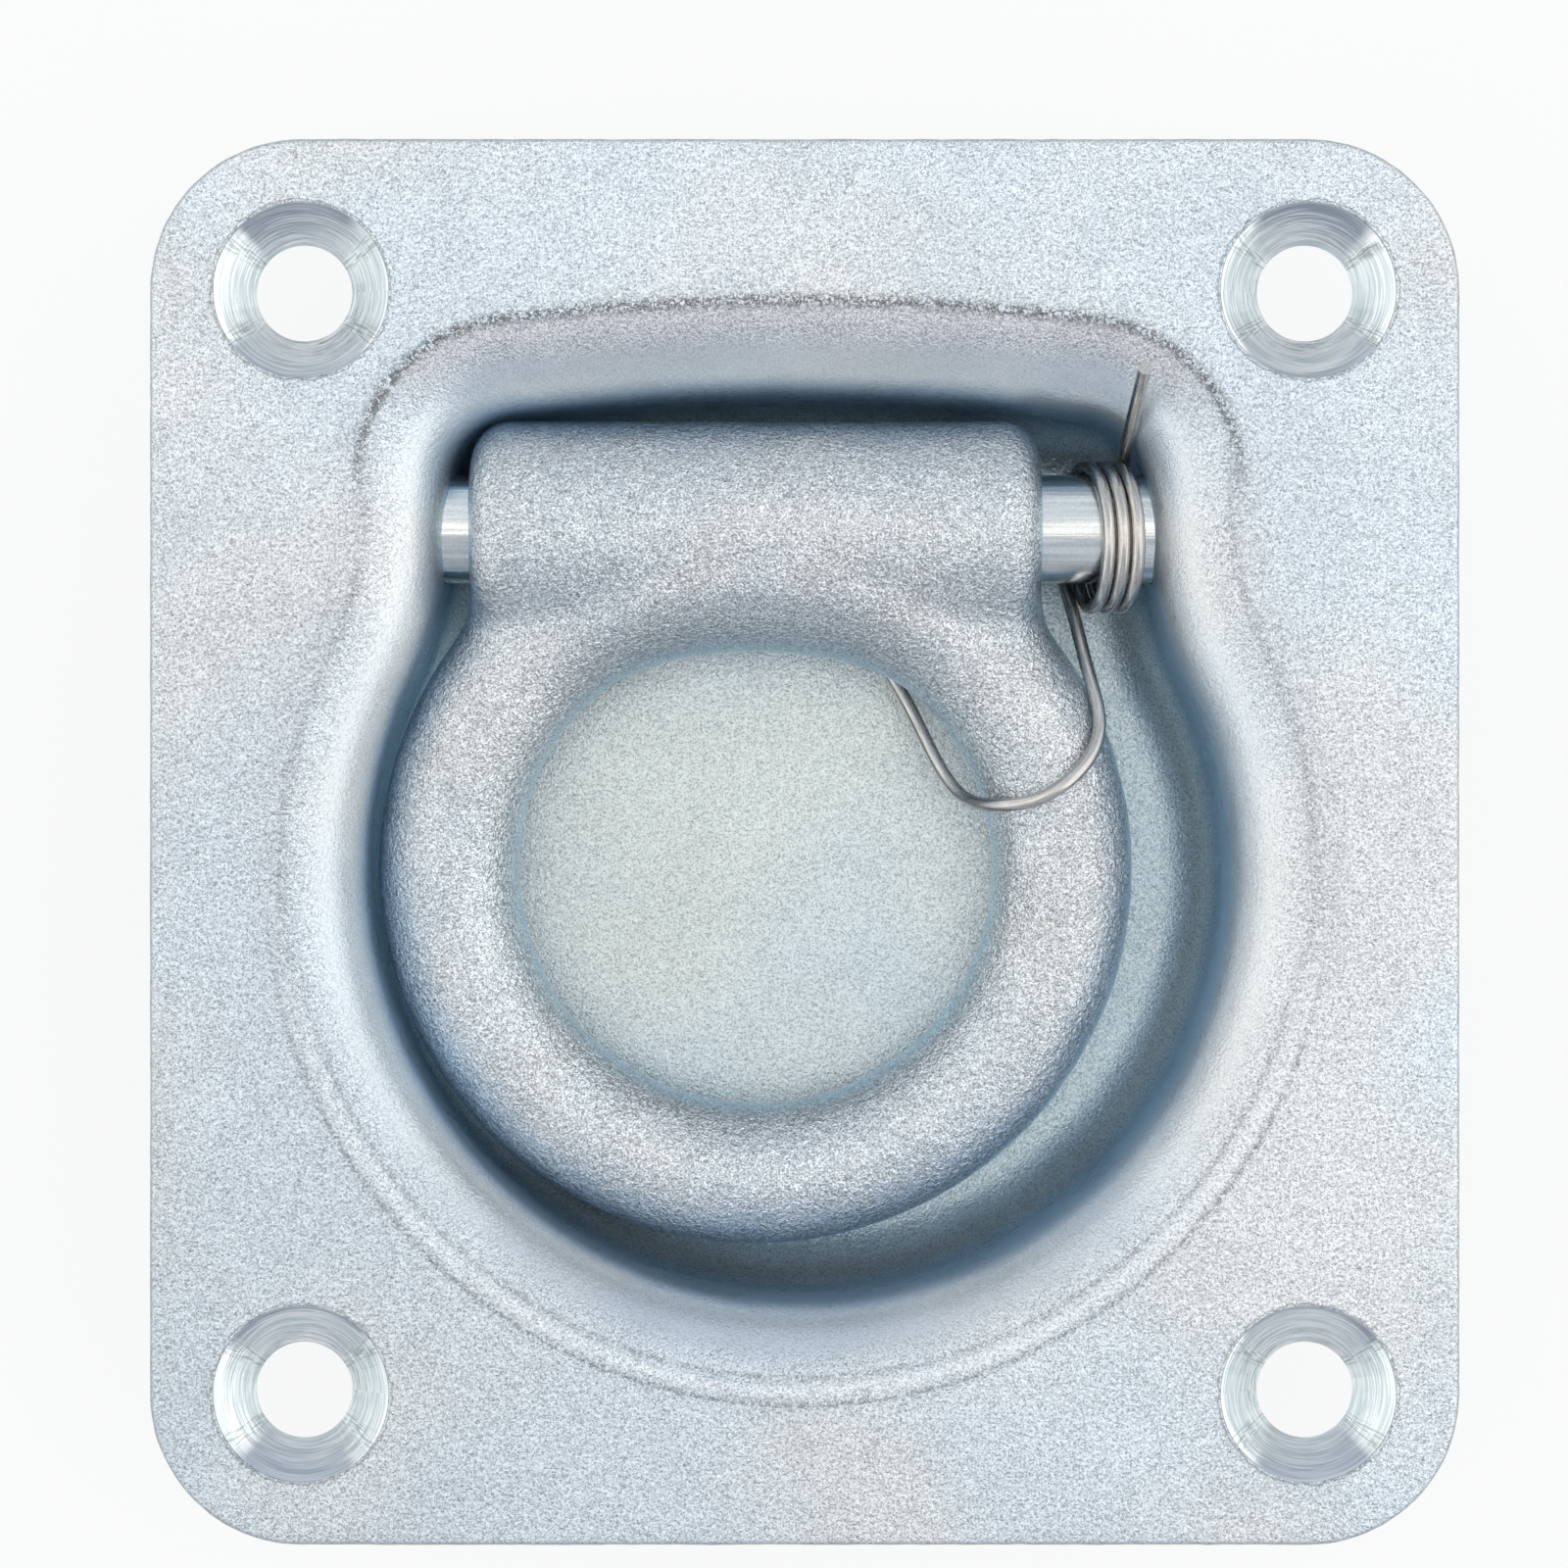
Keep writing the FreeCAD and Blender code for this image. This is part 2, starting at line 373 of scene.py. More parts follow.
def recessStations(shape):
    # points up the right half, then the same mirrored down the left
    bowl = (0.0, shape["bowlY"])
    archY = shape["headTop"] - shape["headArch"]
    cornerX = shape["headHalf"] - shape["headCorner"]
    cornerY = archY + sqrt((shape["headArch"] - shape["headCorner"]) ** 2 - cornerX ** 2)
    rise = cornerY - shape["sideFlat"] - bowl[1]
    half, wide = shape["headHalf"], shape["bowlRadius"]
    neckRadius = (half * half + rise * rise - wide * wide) / (2 * (wide - half))
    neck = (half + neckRadius, bowl[1] + rise)
    leave = atan2(neck[1] - bowl[1], neck[0])
    archAngle = atan2(cornerY - archY, cornerX)
    gap = shape["stationGap"]
    parts = [
        roundCurve(bowl, wide, -pi / 2, leave, False, gap),
        roundCurve(neck, neckRadius, leave + pi, pi, True, gap),
        (np.array([[half, neck[1]], [half, (neck[1] + cornerY) / 2]]), np.array([[1.0, 0.0], [1.0, 0.0]])),
        roundCurve((cornerX, cornerY), shape["headCorner"], 0.0, archAngle, False, gap),
        roundCurve((0.0, archY), shape["headArch"], archAngle, pi / 2, False, gap),
    ]
    points = np.concatenate([part[0] for part in parts] + [np.array([[0.0, shape["headTop"]]])])
    outward = np.concatenate([part[1] for part in parts] + [np.array([[0.0, 1.0]])])
    flip = np.array([-1.0, 1.0])
    points = np.concatenate([points, (points * flip)[-2:0:-1]]) + np.array([shape["middleX"], 0.0])
    return points, np.concatenate([outward, (outward * flip)[-2:0:-1]])


stations, outward = recessStations(outline)


def depthInside(points):
    # distance in from the crease of the lip, negative outside it
    best = np.full(len(points), 1e9)
    for start in range(0, len(points), 20000):
        part = points[start:start + 20000, None, :2] - stations[None]
        near = (part ** 2).sum(2)
        index = near.argmin(1)
        rows = np.arange(len(index))
        best[start:start + 20000] = -(part[rows, index] * outward[index]).sum(1)
    return best


# ---- pan: one pressed section carried round the outline, then flange, rim, holes and floor

pan = {
    "width": 95.0, "length": 102.0, "corner": 11.0, "cornerSteps": 24, "sheet": 3.2,
    "lipBend": 3.4, "wallAngle": 87.0, "wallRun": 11.2242, "floorFillet": 4.3, "floorZ": -13.6,
    "upperSteps": (44, 8, 16), "lowerSteps": (8, 8, 14), "flangeReach": 1.8, "flangeStep": 0.2,
    # the bead and its grooves run along the bowl
    "beadStrength": 1.0, "beadHeight": 0.04, "beadStarts": (-0.1, 0.2), "beadEnds": (0.95, 1.25),
    "grooveDepth": 0.05, "grooves": ((1.5, 0.3), (-0.3, 0.22)), "beadAlong": (-0.35, 0.5),
    # the fold, with a low ridge outside it, runs along the head
    "foldDepth": 0.12, "foldDip": (0.15, 0.42), "foldRidge": (-0.65, 0.4), "ridgeShare": 0.35,
    "foldAlong": (20.0, 32.0), "fadeIn": 0.8, "fadeOut": (3.5, 4.5),
    "waverMean": 0.85, "waver": 0.5, "waverSize": 9.0,
    "rimRound": 0.4, "rimFoot": 0.2, "rimStep": 0.8, "rimRows": 5, "rimRough": 0.05, "rimDrawn": 0.7,
    "rimGrain": 0.9, "rimSway": 3.1, "rimSwayShare": 0.6,
    "holeSpacing": (73.0, 80.0), "holeRadius": 3.5, "sinkRadius": 6.35, "sinkLand": 0.35, "sinkSides": 96,
    # the countersink's edge with its burr, as radius, height and roughness, then depths down the cone
    "sinkEdge": ((7.0, 0.0, 0.0), (6.62, 0.0, 0.0), (6.47, 0.035, 0.5), (6.36, -0.02, 1.0)),
    "sinkDrops": (0.25, 0.6, 1.1, 1.6, 2.1, 2.6), "burrRough": 0.09, "burrLift": 0.05, "holeSeed": 4,
    "wallHole": 4.08, "wallHoleSides": 72, "wallHoleEnds": (20.0, 36.0), "hinge": (23.05, -5.1),
    "sharpAngle": 28,
}


def sheetSide(bend, fillet, top, shape, lipSteps, wallSteps, filletSteps):
    # one face of the sheet from the lip to the floor, as (inward, height) points
    steep = radians(shape["wallAngle"])
    centre = top - bend
    points = [(bend * sin(steep * i / lipSteps), centre + bend * cos(steep * i / lipSteps))
              for i in range(lipSteps + 1)]
    foot = shape["floorZ"] + shape["floorFillet"]
    start = (shape["wallRun"] - fillet * sin(steep), foot - fillet * cos(steep))
    end = points[-1]
    points += [(end[0] + (start[0] - end[0]) * i / wallSteps, end[1] + (start[1] - end[1]) * i / wallSteps)
               for i in range(1, wallSteps)]
    points += [(shape["wallRun"] - fillet * sin(steep * (1 - i / filletSteps)),
                foot - fillet * cos(steep * (1 - i / filletSteps))) for i in range(filletSteps + 1)]
    return points


def pressedTree():
    tree, given = newPattern("pressedSection", "Outline", {
        "Section": "Object", "Bead Strength": "Float", "Fold Depth": "Float", "Finish": "Material",
    }, "Sheet")
    path = made(tree, "GeometryNodeMeshToCurve", {"Mesh": given["Outline"]})
    path = made(tree, "GeometryNodeSetCurveNormal", {"Curve": path}, mode="Z_UP")
    drawn = addNode(tree, "GeometryNodeObjectInfo", {"Object": given["Section"]}).outputs["Geometry"]
    section = made(tree, "GeometryNodeMeshToCurve", {"Mesh": drawn})
    swept = made(tree, "GeometryNodeCurveToMesh", {"Curve": path, "Profile Curve": section})
    # the bead and the fold each have a shape across the lip and a strength along the outline
    lift = []
    for name, size in (("bead", "Bead Strength"), ("fold", "Fold Depth")):
        pair = [made(tree, "GeometryNodeInputNamedAttribute", {"Name": name + way}, data_type="FLOAT")
                for way in ("Across", "Along")]
        lift.append(times(tree, *pair, given[size]))
    upward = vector(tree, z=minus(tree, *lift))
    moved = made(tree, "GeometryNodeSetPosition", {"Geometry": swept, "Offset": upward})
    return endPattern(tree, moved, given["Finish"])


def pressSheet(shape, finish):
    reach, step, thick, floor = (shape[name] for name in ("flangeReach", "flangeStep", "sheet", "floorZ"))
    bend, fillet, run = shape["lipBend"], shape["floorFillet"], shape["wallRun"]
    upper = [(-reach + step * i, thick) for i in range(int(reach / step + 0.5))]
    upper += sheetSide(bend + thick, fillet, thick, shape, *shape["upperSteps"])
    upper.append((run + 0.5, floor))
    lower = [(-1.0, 0.0), (-0.5, 0.0)]
    lower += sheetSide(bend, fillet + thick, 0.0, shape, *shape["lowerSteps"])
    lower.append((run + 0.6, floor - thick))
    inward = np.array([point[0] for point in upper])
    # the bead's top stays level where the lip starts to fall, between two narrow grooves
    crest = rounded(*shape["beadStarts"], inward) * (1 - rounded(*shape["beadEnds"], inward))
    bead = (shape["beadHeight"] + np.maximum(inward, 0) ** 2 / (2 * (bend + thick))) * crest
    for middle, width in shape["grooves"]:
        bead = bead - shape["grooveDepth"] * hump(inward, middle, width)
    fold = hump(inward, *shape["foldDip"]) - shape["ridgeShare"] * hump(inward, *shape["foldRidge"])
    ends = rounded(-reach, -reach + shape["fadeIn"], inward) * (1 - rounded(*shape["fadeOut"], inward))
    blank = [0.0] * len(lower)
    across = {"beadAcross": list(bead * ends) + blank, "foldAcross": list(fold * ends) + blank}
    chains = [[(-d, -z, 0.0) for d, z in side] for side in (upper, lower)]
    section = newObject("panSection", lineMesh("panSection", chains, False, across))
    fromBowl = stations - np.array([outline["middleX"], outline["bowlY"]])
    low = -fromBowl[:, 1] / np.linalg.norm(fromBowl, axis=1)
    size = shape["waverSize"]
    uneven = np.array([shape["waverMean"] + shape["waver"] * noise.noise(Vector((x / size, y / size, 3.0)))
                       for x, y in stations])
    along = {"beadAlong": rounded(*shape["beadAlong"], low) * uneven,
             "foldAlong": rounded(*shape["foldAlong"], stations[:, 1]) * uneven}
    path = newObject("panOutline", lineMesh("panOutline", [[(x, y, 0.0) for x, y in stations]], True, along))
    mesh = runPattern(path, pressedTree(), {
        "Section": section, "Bead Strength": shape["beadStrength"], "Fold Depth": shape["foldDepth"],
        "Finish": finish,
    })
    discard(section, path)
    return mesh


def rimPoints(shape, inset):
    # the plate's rim, drawn in by inset, as points with the same count for every inset
    radius = shape["corner"] - inset
    x, y = shape["width"] / 2 - shape["corner"], shape["length"] / 2 - shape["corner"]
    count = shape["cornerSteps"]
    points = []
    for cx, cy, start in ((x, -y, -90), (x, y, 0), (-x, y, 90), (-x, -y, 180)):
        for i in range(count + 1):
            angle = radians(start + 90 * i / count)
            points.append(Vector((cx + radius * cos(angle), cy + radius * sin(angle), 0)))
        side = 2 * (y if start in (-90, 90) else x)
        turn = radians(start + 90)
        run = Vector((-sin(turn), cos(turn), 0))
        corner = points[-1].copy()
        steps = int(side / shape["rimStep"])
        points += [corner + run * side * i / steps for i in range(1, steps)]
    return points


def addRim(bm, shape):
    # from the flange over the sheared edge and a little way under it
    turn, foot, thick, count = (shape[name] for name in ("rimRound", "rimFoot", "sheet", "rimRows"))
    section = [(1.0, thick)]
    section += [(turn - turn * sin(radians(a)), thick - turn + turn * cos(radians(a))) for a in range(0, 91, 18)]
    section += [(0.0, thick - turn - (thick - turn - foot) * i / count) for i in range(1, count + 1)]
    section += [(0.06, 0.06), (foot, 0.0), (0.9, 0.0)]
    grain, sway = shape["rimGrain"], shape["rimSway"]
    rows = []
    for inset, z in section:
        row = []
        rough = shape["rimRough"] if inset < turn else 0.0
        for point in rimPoints(shape, inset):
            out = Vector((point.x / shape["width"], point.y / shape["length"], 0)).normalized()
            wander = noise.noise(Vector((point.x / grain, point.y / grain, z * 0.4)))
            slow = noise.noise(Vector((point.x / sway, point.y / sway, z * 0.2 + 9)))
            drawn = wander + shape["rimSwayShare"] * slow + shape["rimDrawn"]
            row.append(bm.verts.new((point.x - out.x * rough * drawn, point.y - out.y * rough * drawn, z)))
        rows.append(row)
    joinRows(bm, rows)


def sinkMesh(shape):
    # one countersunk hole with the little burr that the cutter leaves round it
    thick, radius, count = shape["sheet"], shape["holeRadius"], shape["sinkSides"]
    slope = (shape["sinkRadius"] - radius) / (thick - shape["sinkLand"])
    profile = list(shape["sinkEdge"])
    profile += [(shape["sinkRadius"] - slope * drop, -drop, 0.25) for drop in shape["sinkDrops"]]
    profile += [(radius, shape["sinkLand"] - thick, 0.2), (radius, 0.15 - thick, 0.0)]
    profile += [(radius, -thick, 0.0), (4.0, -thick, 0.0)]
    bm = bmesh.new()
    rows = []
    for far, drop, rough in profile:
        row = []
        for i in range(count):
            angle = 2 * pi * i / count
            out = Vector((cos(angle), sin(angle), 0))
            wander = noise.noise(out * 9.0 + Vector((0, 0, 4))) + 0.5 * noise.noise(out * 24.0)
            reach = far + rough * shape["burrRough"] * wander
            lift = rough * shape["burrLift"] * max(wander, -0.4) if drop >= -0.05 else 0.0
            row.append(bm.verts.new((out.x * reach, out.y * reach, thick + drop + lift)))
        rows.append(row)
    for one, two in zip(rows, rows[1:]):
        for i in range(count):
            bm.faces.new((one[i], two[i], two[i - 1], one[i - 1]))
    return meshFrom(bm, "sinkHole")


def patternTree(count):
    tree, given = newPattern("holePattern", "Hole", {
        "Across": "Float", "Along": "Float", "Most Steps": "Int", "Seed": "Int", "Finish": "Material",
    }, "Holes")
    corners = made(tree, "GeometryNodeMeshGrid", {
        "Size X": given["Across"], "Size Y": given["Along"], "Vertices X": 2, "Vertices Y": 2,
    })
    # each copy is turned by whole steps, so that its rim still meets the flange's points
    pick = addNode(tree, "FunctionNodeRandomValue", {"Seed": given["Seed"]}, data_type="INT")
    feed(tree, pick.inputs[4], 0)
    feed(tree, pick.inputs[5], given["Most Steps"])
    spin = vector(tree, z=times(tree, pick.outputs[2], 2 * pi / count))
    copies = made(tree, "GeometryNodeInstanceOnPoints", {
        "Points": corners, "Instance": given["Hole"], "Rotation": spin,
    })
    return endPattern(tree, copies, given["Finish"])


def holeMesh(shape, finish):
    holes = newObject("boltHoles", sinkMesh(shape))
    count = shape["sinkSides"]
    mesh = runPattern(holes, patternTree(count), {
        "Across": shape["holeSpacing"][0], "Along": shape["holeSpacing"][1],
        "Most Steps": count - 1, "Seed": shape["holeSeed"], "Finish": finish,
    })
    discard(holes)
    return mesh


def sinkTurning(tree, axes):
    # turning marks in the countersinks, worked out from the distance to the nearest hole
    look = {
        "ringPitch": 6.0, "ringSpan": (0.38, 0.62), "dark": (0.62, 0.68, 0.70, 1), "light": (0.87, 0.90, 0.91, 1),
        "quarterShade": (0.85, 0.84, 0.86, 1), "sectorSpan": (0.60, 0.70), "sectorSway": (0.3, 0.7, -0.03, 0.03),
        "chatter": (0.26, 0.29, 0.29, 1), "chatterAt": 0.56, "chatterSpan": (0.14, 0.05), "chatterShare": 0.55,
        "spokes": (0.9, 34.0), "spokeSpan": (0.49, 0.56), "signs": (7.0, 13.0),
    }
    ramp = rampsOf(tree, look)
    awayX, awayY = (minus(tree, reckon(tree, "ABSOLUTE", axes[name]), spacing / 2 * mm)
                    for name, spacing in zip("XY", pan["holeSpacing"]))
    away = times(tree, flatDistance(tree, awayX, awayY), 1000.0)
    around = reckon(tree, "ARCTAN2", awayY, awayX)
    which = plus(tree, *(times(tree, reckon(tree, "SIGN", axes[name]), sign)
                         for name, sign in zip("XY", look["signs"])))
    rings = noiseAt(tree, vector(tree, times(tree, away, look["ringPitch"]), around, which))
    # painted shade on the upper and lower quarters of each countersink, which the side light misses, and dark chatter
    # marks where the quarters meet
    across = reckon(tree, "ABSOLUTE", reckon(tree, "SINE", around))
    quarterShade = ramp(plus(tree, across, ramp(rings, "sectorSway")), "sectorSpan")
    fan = vector(tree, times(tree, away, look["spokes"][0]), times(tree, around, look["spokes"][1]), which)
    spokes = noiseAt(tree, fan, 1.0, 1.0)
    chatter = ramp(gapTo(tree, across, look["chatterAt"]), "chatterSpan")
    chatter = times(tree, chatter, ramp(spokes, "spokeSpan"))
    tint = mixColors(tree, ramp(rings, "ringSpan"), look["dark"], look["light"])
    tint = mixColors(tree, quarterShade, tint, look["quarterShade"], "MULTIPLY")
    tint = mixColors(tree, times(tree, chatter, look["chatterShare"]), tint, look["chatter"])
    return away, rings, tint


def panFinish():
    look = {
        "cool": (0.735, 0.795, 0.845, 1), "warm": (0.785, 0.795, 0.800, 1), "cloud": 26.0, "cloudSpan": (0.38, 0.62),
        "floor": (0.84, 0.88, 0.865, 1), "floorSpan": (-11.5, -13.3), "channelShade": (0.555, 0.635, 0.67, 1),
        "channelSpan": (17.0, 27.0), "channelDown": (-9.0, -13.0), "lipShade": (0.60, 0.60, 0.63, 1),
        "steep": (0.57, 0.765, 0.96, 1), "recessSpan": (1.0, -4.0), "grain": 0.15,
        "grainSpan": (0.33, 0.58, 0.52, 1.14), "grainMean": 0.95,
        "wrinkle": 0.31, "wrinkleSpan": (0.0, 0.10, 1.06, 0.96), "patch": 7.0, "patchSpan": (0.3, 0.7, 0.95, 1.03),
        "smoothSpan": (3.0, 1.8, 1.0, 0.35), "clearSpan": (-5.0, -10.0, 0.0, 0.5),
        "shadeWay": (600.0, 800.0), "shadeSpan": (-62.0, 20.0, 0.88, 1.03),
        "beadHighlight": (0.93, 0.94, 0.95, 1), "wornSpan": (0.35, 0.6, 0.1, 0.75),
        "creaseShade": (0.22, 0.215, 0.21, 1), "dimpleSpan": (0.46, 0.56), "creaseShadeShare": 0.80,
        "cut": (0.36, 0.37, 0.38, 1), "cutShare": 0.65, "cutRough": 0.15,
        "scratch": (0.92, 0.94, 0.95, 1), "scratchShare": 0.35,
        "scratches": ((24, 3.0, 0.09, 0.74), (-52, 2.2, 0.08, 0.75), (81, 2.6, 0.08, 0.75)),
        "sinkSpan": (6.33, 6.42), "torn": (0.26, 0.27, 0.28, 1), "tornAt": 7.0, "tornSpan": (0.11, 0.03),
        "tornGrain": 0.9, "tornSway": 0.9, "tornShare": 0.6,
        "metallic": 0.76, "edgeTint": (0.80, 0.95, 1.0, 1), "roughSpan": (0.25, 0.75, 0.25, 0.31), "sinkRough": 0.4,
        "grainDeep": 0.014, "wrinkleDeep": 0.15, "creaseDeep": 2.2, "ringDeep": 0.022,
    }
    finish, tree, place, ramp = newFinish("zincPan", look)
    axes = addNode(tree, "ShaderNodeSeparateXYZ", {0: place}).outputs
    down = lambda name: gradeLength(tree, axes["Z"], *look[name])
    names = ("fold", "crease", "steep", "beadHighlight", "cutEdge")
    fold, crease, steep, beadHighlight, cut = (attribute(tree, name) for name in names)
    cloud = speckle(tree, place, look["cloud"])
    patch = speckle(tree, place, look["patch"], 3.0, 0.6)
    grain = speckle(tree, place, look["grain"], 2.5, 0.7, 0.5)
    coarse = speckle(tree, place, look["wrinkle"], 1.5, 0.6, 1.2)
    # cool and neutral clouds, a darker, greener recess floor, and painted shade in the channel round it under the
    # ring
    tint = mixColors(tree, ramp(cloud, "cloudSpan"), look["cool"], look["warm"])
    out = flatDistance(tree, minus(tree, axes["X"], outline["middleX"] * mm),
                       minus(tree, axes["Y"], outline["bowlY"] * mm))
    channelShade = times(tree, gradeLength(tree, out, *look["channelSpan"]), down("channelDown"))
    tint = mixColors(tree, down("floorSpan"), tint, look["floor"], "MULTIPLY")
    tint = mixColors(tree, channelShade, tint, look["channelShade"])
    # painted blue shade on the steep walls, and painted mauve shade down the head's lip
    tint = mixColors(tree, times(tree, steep, down("recessSpan")), tint, look["steep"])
    tint = mixColors(tree, fold, tint, look["lipShade"])
    # the lip that was drawn smooth has less grain, and down in the recess the grain shows again
    smooth = down("smoothSpan")
    clear = plus(tree, smooth, down("clearSpan"))
    # painted highlight along the wrinkle lines
    wrinkle = ramp(gapTo(tree, coarse, 0.5), "wrinkleSpan")
    light = times(tree, ramp(grain, "grainSpan"), wrinkle)
    light = plus(tree, times(tree, minus(tree, light, look["grainMean"]), clear), look["grainMean"])
    # painted shade, a little darker towards the lower left corner
    lean = plus(tree, *(times(tree, axes[name], way) for name, way in zip("XY", look["shadeWay"])))
    broad = times(tree, ramp(patch, "patchSpan"), ramp(lean, "shadeSpan"))
    tint = mixColors(tree, 1.0, tint, times(tree, light, broad), "MULTIPLY")
    # painted highlight along the bead's crest, broken up by the grain
    tint = mixColors(tree, times(tree, beadHighlight, ramp(grain, "wornSpan")), tint, look["beadHighlight"])
    # painted shade in the creases along the lip, a darker cut edge and bright scratches
    creaseShade = times(tree, ramp(coarse, "dimpleSpan"), crease)
    lines = plus(tree, *(scratches(tree, place, *values) for values in look["scratches"]))
    for amount, name in ((creaseShade, "creaseShade"), (cut, "cut"), (lines, "scratch")):
        tint = mixColors(tree, times(tree, amount, look[name + "Share"]), tint, look[name])
    away, rings, sinkTint = sinkTurning(tree, axes)
    turned = times(tree, minus(tree, 1.0, ramp(away, "sinkSpan")), minus(tree, 1.0, cut))
    tint = mixColors(tree, turned, tint, sinkTint)
    # a torn dark line where the cutter broke through the skin
    sway = times(tree, speckle(tree, place, look["tornGrain"], 3.0, 0.7), look["tornSway"])
    torn = ramp(gapTo(tree, plus(tree, away, sway), look["tornAt"]), "tornSpan")
    tint = mixColors(tree, times(tree, torn, look["tornShare"]), tint, look["torn"])
    rough = plus(tree, ramp(patch, "roughSpan"), times(tree, cut, look["cutRough"]))
    rough = times(tree, rough, grade(tree, turned, 0.0, 1.0, 1.0, look["sinkRough"]))
    plain = times(tree, minus(tree, 1.0, turned), smooth)
    depth = times(tree, grade(tree, crease, 0.0, 1.0, 1.0, look["creaseDeep"]), plain)
    height = plus(tree, times(tree, grain, look["grainDeep"]), times(tree, coarse, look["wrinkleDeep"]))
    height = plus(tree, times(tree, height, depth), times(tree, rings, look["ringDeep"], turned))
    setSurface(tree, look, tint, rough, height, grade(tree, turned, 0.0, 1.0, look["metallic"], 1.0))
    return finish


# Marks across the lip are (strength, middle, width), and the spans say where along the plate each begins.
sheetShadeAndMarks = {
    "head": (22.0, 32.0), "top": (29.0, 35.0), "bowl": (-22.0, 0.0), "haze": (-0.3, 1.5), "hazeBelow": 0.2,
    "lipShade": 0.9, "lipShadeStarts": (0.1, 0.5), "lipShadeEnds": (2.0, 4.5), "sideTint": 0.2,
    "headCrease": (1.2, 0.2, 0.45), "bowlCreases": ((0.7, -0.35, 0.22), (0.55, 1.5, 0.25)),
    "sideCrease": (0.4, 0.9, 0.5), "hazeCrease": 0.15, "beadHighlight": (1.0, 0.55, 0.55), "cutSpan": (-0.3, -0.12),
}


def markSheet(mesh, shape):
    # where painted shade lies on the lip and in the creases, where a painted highlight lies along the bead, and where
    # the sheet is cut, for its finish
    points = pointsOf(mesh)
    inward = depthInside(points)
    y, onTop = points[:, 1], points[:, 2] > 0.5
    line = lambda strength, middle, width: strength * hump(inward, middle, width)
    atHead, atTop = rounded(*sheetShadeAndMarks["head"], y), rounded(*sheetShadeAndMarks["top"], y)
    below = 1 - rounded(*sheetShadeAndMarks["bowl"], y)
    shadedLip = rounded(*sheetShadeAndMarks["lipShadeStarts"], inward) * (1 - rounded(*sheetShadeAndMarks["lipShadeEnds"], inward))
    haze = line(1.0, *sheetShadeAndMarks["haze"]) * (1 - (1 - sheetShadeAndMarks["hazeBelow"]) * below)
    # fold is painted shade, a mauve grey down the head's lip where it turns from the light, and a faint mauve tint
    # along the crease at the sides
    fold = atTop * sheetShadeAndMarks["lipShade"] * shadedLip + (1 - atTop) * sheetShadeAndMarks["sideTint"] * haze
    crease = atHead * line(*sheetShadeAndMarks["headCrease"]) + below * sum(line(*values) for values in sheetShadeAndMarks["bowlCreases"])
    crease += (1 - atHead) * (1 - below) * line(*sheetShadeAndMarks["sideCrease"]) + sheetShadeAndMarks["hazeCrease"] * haze
    # how far outside the plate's rim each point lies, negative inside
    beyond = np.abs(points[:, :2]) - np.array([shape["width"], shape["length"]]) / 2
    corner = beyond + shape["corner"]
    edge = np.where((corner > 0).all(1), np.hypot(corner[:, 0], corner[:, 1]) - shape["corner"], beyond.max(1))
    noteFloats(mesh, {
        "fold": fold * onTop, "crease": crease * onTop, "beadHighlight": below * line(*sheetShadeAndMarks["beadHighlight"]) * onTop,
        "cutEdge": rounded(*sheetShadeAndMarks["cutSpan"], edge) * (points[:, 2] > -0.1),
    })
    noteSteep(mesh, (outline["middleX"], outline["bowlY"]))


def makePan(shape):
    finish = panFinish()
    bm = bmesh.new()
    bm.from_mesh(pressSheet(shape, finish))
    addRim(bm, shape)
    bm.from_mesh(holeMesh(shape, finish))
    for level in (shape["sheet"], 0.0, shape["floorZ"], shape["floorZ"] - shape["sheet"]):
        bare = [edge for edge in bm.edges
                if edge.is_boundary and all(abs(v.co.z - level) < 1e-3 for v in edge.verts)]
        filled = bmesh.ops.triangle_fill(bm, use_beauty=True, use_dissolve=False, edges=bare, normal=(0, 0, 1))
        print("  filled level", level, "from", len(bare), "edges with", len(filled["geom"]), "faces and edges")
    bmesh.ops.recalc_face_normals(bm, faces=bm.faces)
    openEdges = sum(1 for edge in bm.edges if not edge.is_manifold)
    thing = newObject("panSheet", meshFrom(bm, "panSheet"), finish)
    cutters = []
    for side in (-1, 1):
        ends = sorted(side * end for end in shape["wallHoleEnds"])
        tool = turnedMesh("wallHole", [(end, shape["wallHole"]) for end in ends], shape["hinge"],
                          shape["wallHoleSides"])
        cutters.append(newObject("wallHole", tool, finish))
    cutAway(thing, *cutters)
    markSheet(thing.data, shape)
    finishPiece(thing, shape["sharpAngle"])
    print("pan made,", len(thing.data.polygons), "faces, open edges before the wall holes:", openEdges)
    return thing


panSheet = makePan(pan)
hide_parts("pan")
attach(panSheet, "pan_body")


# ---- forged ring: the round bar and the barrel run into each other as one forging

ring = {
    "centreX": -3.6005, "hinge": (23.05, -5.1), "reach": 25.2, "ringRadius": 22.75, "barRadius": 5.25, "tilt": 3.5272,
    "barrelRadius": 8.0, "barrelHalf": 21.05, "barrelEdge": 3.0, "web": 3.4, "webInside": 7.5, "webSpan": (1.5, -2.5),
    "bore": 4.1, "flare": 0.5, "unevenness": 0.05, "swaySizes": (5.0, 2.1), "swayShare": 0.5,
    "hoopSteps": 120, "barSteps": 32, "barrelSides": 64, "boreSides": 96,
    "voxel": 0.42, "firstPulls": 4, "lastPulls": 3, "evenShare": 0.5, "evenRounds": 3, "sharpAngle": 40,
}


def ringCentre(shape):
    return np.array([shape["centreX"], shape["hinge"][0] - shape["reach"], shape["hinge"][1]])


